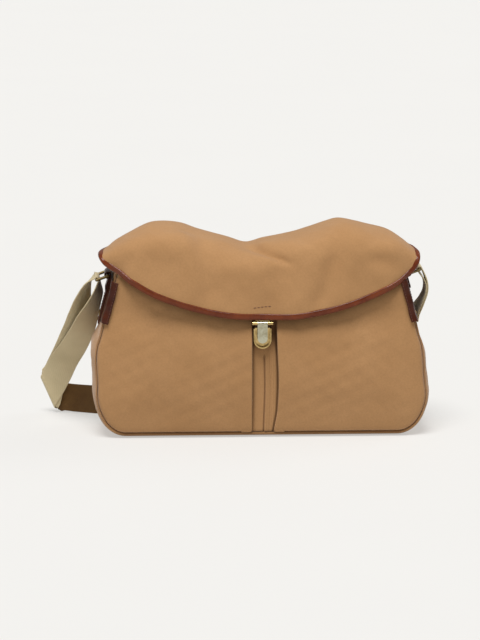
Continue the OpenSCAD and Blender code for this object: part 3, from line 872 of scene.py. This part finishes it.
def build_flap():
    points, normal = flap_grid()
    s = np.stack([lengths(points[:, c]) for c in range(FLAP_COLS)], axis=1)
    uv = np.stack([np.linspace(-1, 1, FLAP_COLS)[None] * FLAP_HALF + 0 * s, s], axis=-1)
    cloth = grid_object("flap_cloth", points, uv, FLAP_T)
    finish_piece(cloth, CANVAS, None, ["flap_panel"])
    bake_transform(cloth)
    binding, thread = flap_binding(points, normal)
    mark = tab_stitches(points)


def flap_binding(points, normal):
    """Leather folded round the flap's free edge and sewn through."""
    path = np.vstack([points[::-1, 0], points[0, 1:-1], points[:, -1]])
    ups = np.vstack([normal[::-1, 0], normal[0, 1:-1], normal[:, -1]])
    steps = 520
    path, ups = (evenly(line, lengths(path), steps) for line in (path, ups))
    for _ in range(16):
        for line in (path, ups):
            line[1:-1] = (line[:-2] + 2 * line[1:-1] + line[2:]) / 4
    along = tangents(path)
    ups = unit(ups - along * (ups * along).sum(1)[:, None])
    inward = unit(np.cross(ups, along))
    if inward[steps // 2][2] < 0:
        inward = -inward
    centre = path + inward * 3.2 - ups * FLAP_T / 2
    strip = sweep("flap_edge_binding", centre, inward, ups, rounded_box(8.2, 5.4, 2.4, 5))
    finish_piece(strip, BINDING, None, ["flap_binding"])
    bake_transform(strip)
    centre, inward, ups = (v[4:-4] for v in (centre, inward, ups))
    rows = [(centre + inward * 2.9 + ups * side * 2.62, ups * side) for side in (-1, 1)]
    thread = stitches("flap_binding_stitches", rows, BROWN_THREAD, None, "binding_leather",
                      lift=-0.05, radius=0.28)
    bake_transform(thread)
    return strip, thread


def flap_front_point(points, x, z):
    """Point of the hanging front of the flap at x and z."""
    column = int(round((x / FLAP_HALF + 1) / 2 * (FLAP_COLS - 1)))
    line = points[:FLAP_ROWS // 2, column]
    return np.array([x, np.interp(z, line[:, 2], line[:, 1]), z])


def tab_stitches(points):
    """Short slanted row of stitches that holds the closure tab behind the flap."""
    line = np.array([flap_front_point(points, x, 174.5 + 0.11 * (x + 7)) for x in np.linspace(-7, 12, 8)])
    return stitches("tab_stitches", [(line, (0, -1, 0))], BROWN_THREAD, "flap", "canvas",
                    pitch=3.2, length=3.4, radius=0.45)


# ---------------------------------------------------------------- strap

WEB_W, WEB_T = 38, 1.8
ROUTE_END = 99                 # a station beyond the end of every route
RING_BARS = {-1: (-212.0, 203.9), 1: (212.0, 214.8)}      # outer bars of the rings, (x, z)
LOOP_R = 3.1
FOLD_CENTRE = np.array((-275, 109, 29.5))
FOLD_AXIS = np.array((0.396, 0, -0.918))
FOLD_OUT = np.array((-0.918, 0, -0.396))
FOLD_SLIDE = 0.7               # how far the webbing moves along the fold's axis as it turns

# Each station is the centre of the webbing and the direction of its width.
# Left side: the layer that runs down from the ring, and the one that comes back up to it
LEFT_DOWN = [
    ((-209.6, 0.5, 194), (-0.16, -0.99, 0.03)), ((-211, 3, 182), (-0.36, -0.93, 0.06)),
    ((-217, 10, 166), (-0.5, -0.86, 0.1)), ((-223.8, 22, 149), (-0.64, -0.75, 0.15)),
    ((-230.3, 40, 129), (-0.76, -0.6, 0.22)), ((-237.4, 57, 112), (-0.86, -0.44, 0.28)),
    ((-245.6, 73, 95), (-0.9, -0.3, 0.36)), ((-256, 86, 77), (-0.86, -0.2, 0.48)),
    ((-264.5, 95.5, 58.5), (-0.72, -0.1, 0.68)), ((-271.8, 101.6, 43.5), (-0.54, -0.03, 0.84))
]
LEFT_UP = [
    ((-272, 103.8, 44), (-0.54, -0.03, 0.84)), ((-264.9, 98.2, 59.5), (-0.72, -0.1, 0.68)),
    ((-257, 89, 78), (-0.85, -0.2, 0.48)), ((-249.5, 75, 98), (-0.88, -0.33, 0.35)),
    ((-243, 58, 118), (-0.84, -0.46, 0.28)), ((-237.5, 42, 136), (-0.77, -0.59, 0.24)),
    ((-233.5, 27, 153), (-0.67, -0.71, 0.2)), ((-229.5, 13, 176), (-0.46, -0.88, 0.12)),
    ((-223, 3, 197), (-0.2, -0.98, 0.04))
]
LEFT_BEHIND = [
    ((-261, 112.2, 22), (-0.2, 0, 0.98)), ((-243, 107.3, 20.3), (-0.04, 0, 1)), ((-214, 92, 21), (0, 0, 1))
]
LEFT_RETURN_BEHIND = [
    ((-236, 102.8, 20.3), (0, 0, 1)), ((-246, 105.8, 20.6), (-0.06, 0, 1)),
    ((-262, 109.8, 22.6), (-0.22, 0, 0.97))
]
REAR_RUN = [
    ((-196, 83.5, 22), (0, 0, 1)), ((-182, 77.5, 23.5), (0, 0, 1)), ((-168, 75.4, 25), (0, 0, 1)),
    ((-156, 75.2, 25), (0, 0, 1)), ((-140, 73.2, 25), (0, 0, 1)), ((-124, 73, 25), (0, 0, 1)),
    ((-100, 73, 25), (0, 0, 1)), ((-60, 73, 25), (0, 0, 1)), ((-10, 73, 24), (0, 0, 1)),
    ((50, 73, 21), (0, 0, 1)), ((110, 74, 27), (-0.22, 0, 0.97)), ((150, 76.5, 45), (-0.45, 0, 0.89)),
    ((180, 79, 68), (-0.58, 0.02, 0.81))
]
RIGHT_UP = [
    ((180, 79, 68), (-0.58, 0.02, 0.81)), ((198, 77.5, 90), (-0.56, 0.22, 0.8)),
    ((209.5, 66, 111), (-0.34, 0.54, 0.77)), ((213.4, 48, 128), (-0.1, 0.7, 0.7)),
    ((210.8, 30, 143), (0, 0.82, 0.57)), ((211, 15, 156), (0, 0.95, 0.3)), ((216.2, 6, 169.5), (0, 1, 0.1)),
    ((220.8, 1, 184), (0, 1, 0)), ((219.6, 0, 198), (0, 1, 0))
]
RIGHT_TAIL = [
    ((221.8, 0, 200), (0, 1, 0)), ((223, 1, 185), (0, 1, 0)), ((218.5, 6, 170), (0, 1, 0.1)),
    ((213.3, 15, 157), (0, 0.95, 0.3)), ((212.6, 24, 149), (0, 0.88, 0.45))
]
TAIL_TO_SLIDER = [
    ((-243, 105.2, 20.4), (0, 0, 1)), ((-236, 102.3, 20.3), (0, 0, 1)),
    ((-212, 88.5, 21), (0, 0, 1)), ((-188, 74.5, 23), (0, 0, 1)),
    ((-172, 69, 24.6), (0, 0, 1)), ((-163, 67.4, 25), (0, 0, 1)), ((-157, 67.2, 25), (0, 0, 1)),
    ((-153.2, 68.2, 25), (0, 0, 1)), ((-152.1, 70.2, 25), (0, 0, 1)), ((-153.4, 72.3, 25), (0, 0, 1)),
    ((-158, 72.9, 25), (0, 0, 1)), ((-170, 72.5, 25), (0, 0, 1)), ((-180, 75.2, 24.2), (0, 0, 1))
]


def ring_turn(side, first, last):
    """Stations over a ring's outer bar. The angles are 0 away from the bag and 90 at the top."""
    x, z = RING_BARS[side]
    return [((x + side * LOOP_R * math.cos(a), 0, z + LOOP_R * math.sin(a)), (0, side, 0))
            for a in np.radians(np.linspace(first, last, 7))]


def diagonal_fold(radius):
    """Stations where webbing is turned flat round a slanted line, from its front to its rear."""
    stations = []
    for a in np.radians(np.linspace(-90, 90, 9)):
        place = (FOLD_CENTRE + FOLD_OUT * radius * math.cos(a) + np.array((0, 1, 0)) * radius * math.sin(a)
                 + FOLD_AXIS * radius * FOLD_SLIDE * a)
        stations.append((tuple(place), tuple(-FOLD_AXIS)))
    return stations


def webbing(name, route, shaded_stretches=()):
    """Webbing along a route of centres and width directions. On the shaded stretches, pairs of
    stations, the side towards the bag is painted in shade with a darker copy of the webbing."""
    per = 14
    n = per * (len(route) - 1) + 1
    centres = spline([c for c, _ in route], n)
    across = unit(spline([w for _, w in route], n))
    out = np.cross(tangents(centres), across)
    slant = np.clip(np.linalg.norm(out, axis=1, keepdims=True), 0.7, 1)
    out = unit(out)
    profile = rounded_box(WEB_W, WEB_T, 0.85, 4)
    strip = sweep(name, centres, across / slant, out, profile)
    strip.data.materials.append(WEBBING)
    strip.data.materials.append(SHADED_WEBBING)
    for face in strip.data.polygons:
        station = face.vertices[0] // len(profile) / per
        if face.normal.y < 0.3 and any(a <= station <= b for a, b in shaded_stretches):
            face.material_index = 1
    return strip, centres, across / slant, out


def box_stitch(centres, across, out, lift):
    """Rows of stitches in a box with a cross, over a stretch of webbing."""
    a, b = 0, len(centres) - 1
    half = 15.5
    corners = [(a, -half), (b, -half), (b, half), (a, half), (a, -half)]
    cross = [[(a, -half), (b, half)], [(a, half), (b, -half)]]
    rows = []
    for line in [corners[i:i + 2] for i in range(4)] + cross:
        (i0, o0), (i1, o1) = line
        t = np.linspace(0, 1, 12)
        i = i0 + (i1 - i0) * t
        low = np.floor(i).astype(int).clip(0, b - 1)
        f = (i - low)[:, None]
        centre = centres[low] * (1 - f) + centres[low + 1] * f
        side = across[low]
        path = centre + side * (o0 + (o1 - o0) * t)[:, None] + out[low] * lift
        rows.append((path, out[low] * (1 if lift > 0 else -1)))
    return rows


def build_strap():
    front, rear = diagonal_fold(2.4), diagonal_fold(4.6)
    route = LEFT_RETURN_BEHIND + front[::-1] + LEFT_UP + ring_turn(-1, 28, 184) + LEFT_DOWN + rear
    # Painted shade on the stretches behind the bag, on their side towards it.
    shaded_stretches = [(0, 7), (len(route) - 5, ROUTE_END)]
    left, *_ = webbing("strap_long", route + LEFT_BEHIND + REAR_RUN, shaded_stretches)
    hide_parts("strap_loop_left", "strap_return", "strap_run")
    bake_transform(left)

    right, centres, across, out = webbing("strap_right", RIGHT_UP + ring_turn(1, 206, 28) + RIGHT_TAIL)
    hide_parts("strap_loop_right")
    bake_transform(right)
    sewn = slice(len(centres) - 40, len(centres) - 6)
    rows = box_stitch(centres[sewn], across[sewn], out[sewn], -WEB_T / 2)
    thread = stitches("strap_right_stitches", rows, CREAM_THREAD, None, "webbing")
    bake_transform(thread)

    # The tail behind the bag is painted in shade all along.
    tail, *_ = webbing("strap_tail", TAIL_TO_SLIDER, [(0, ROUTE_END)])
    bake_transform(tail)


# ---------------------------------------------------------------- leather, clasp and rings

PATCH_TOP_Z = 208


def on_side(side, x, y, z):
    """Points given along a side: x outward from it, z up along it from the patch's top."""
    x, y, z = np.broadcast_arrays(*(np.asarray(v, float) for v in (x, y, z)))
    c, s = math.cos(TILT), math.sin(TILT)
    return np.stack([side * (cad_side(PATCH_TOP_Z) + x * c - z * s), y, PATCH_TOP_Z + x * s + z * c], axis=-1)


def outward(side):
    """Direction that a side of the bag faces, along its leaning upper part."""
    return side * math.cos(TILT), 0, math.sin(TILT)


def corner_patch(side):
    """Leather corner: a plate along the gusset whose front edge is folded over the pocket."""
    plan = [(0.3, 34), (0.3, 10), (0.3, -20), (0.3, -46), (0.2, -56), (-0.6, -60.5), (-2.6, -62.9),
            (-5.4, -63.5), (-9, -64)]
    plan = even(spline(plan, 300), 90)
    rows = 40
    z = np.linspace(-56, 0, rows)[:, None] + np.zeros((rows, len(plan)))
    x = plan[None, :, 0] + 2.0 + 0 * z
    y = plan[None, :, 1] + 0 * z
    relief = 0.35 * ripple(z, plan[None, :, 1], 30, 55 + side)
    points = on_side(side, x + relief * bell(y, -62, 8), y - relief * bell(y, -62, 8), z)
    uv = np.stack([plan[None, :, 1] + 0 * z, z], axis=-1)
    if side < 0:
        points, uv = points[:, ::-1], uv[:, ::-1]
    name = SIDE_NAME[side]
    patch = grid_object("corner_leather_" + name, points[:, ::-1], uv[:, ::-1], 2.0)
    bevel(patch, 0.5)
    finish_piece(patch, LEATHER, "bag", ["corner_patch_" + name])
    lines = [(on_side(side, 2.3, np.linspace(30, -52, 40), edge), outward(side)) for edge in (-3, -53)]
    lines.append((on_side(side, 2.3, 31, np.linspace(-3, -53, 24)), outward(side)))
    lines.append((on_side(side, -5.4, -64, np.linspace(-53, -3, 24)), (0, -1, 0)))
    stitches("corner_stitches_" + name, lines, BROWN_THREAD, "bag", "dark_leather", radius=0.3)


def chape(side):
    """Leather strap that holds the ring: up the side, round the ring's bar and tucked under."""
    name = SIDE_NAME[side]
    turn = np.radians(np.linspace(180, -128, 22))
    path = [(3.1, -66), (3.1, -50), (3.1, -30), (3.1, -12), (3.02, -4)]
    path += [(7 + 3.95 * math.cos(a), -0.5 + 3.95 * math.sin(a)) for a in turn]
    path += [(4.95, -7), (5.1, -13), (5.1, -20)]
    path = even(spline(path, 500), 120)
    centres = on_side(side, path[:, 0], 0.0, path[:, 1])
    out = unit(np.cross(tangents(centres), (0, 1, 0)))
    strip = sweep("chape_leather_" + name, centres, (0, 1, 0), out, rounded_box(34, 2, 0.8, 3))
    finish_piece(strip, LEATHER, "bag", ["chape_" + name])
    rows = [(on_side(side, 4.15, y, np.linspace(-63, -22, 24)), outward(side)) for y in (-14.3, 14.3)]
    rows.append((on_side(side, 6.15, np.linspace(-14, 14, 24), -17.5), outward(side)))
    stitches("chape_stitches_" + name, rows, BROWN_THREAD, "bag", "dark_leather", radius=0.32)


def clasp_backing():
    """Leather washer between the receiver and the pleat, just larger than the receiver."""
    half, low, top = 12.1, 119.9, 147.2
    shape = [(CENTRE_X + half * math.cos(a), low + half + half * math.sin(a))
             for a in np.radians(np.linspace(180, 360, 25))]
    shape += [(CENTRE_X + half, top), (CENTRE_X - half, top)]
    verts = [(x, y, z) for y in (-62, -63.5) for x, z in shape]
    washer = mesh_object("clasp_washer", verts, tube_faces(2, len(shape)))
    bevel(washer, 0.3)
    finish_piece(washer, LEATHER, "bag", ["clasp_backing"])


def hardware():
    """Metal and stiff leather pieces are the CAD solids with rounded edges."""
    for material, width, *names in (
            (BRASS, 0.5, "clasp_bar", "strap_slider"), (BRASS, 0.25, "clasp_pin"),
            (BRASS, 0.55, "clasp_receiver"), (BRASS, 0.3, "tab_rivets"),
            (BRASS, 0.35, "receiver_rivets", "chape_rivets_left", "chape_rivets_right"),
            (DULL_BRASS, 0.2, "ring_left", "ring_right"),
            (MIRROR, 0.5, "clasp_lever"), (LEATHER, 0.5, "closure_tab")):
        for name in names:
            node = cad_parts[name]
            node.data.materials.clear()
            node.data.materials.append(material)
            bevel(node, width, 3)


def build_floor():
    bpy.ops.mesh.primitive_plane_add(size=80, location=(0, 0, 0))
    floor = bpy.context.object
    floor.name = "studio_floor"
    floor.data.materials.append(floor_material())


build_body()
build_flap()
build_strap()
for each_side in (-1, 1):
    corner_patch(each_side)
    chape(each_side)
clasp_backing()
hardware()
build_floor()
place_camera()
light_studio()
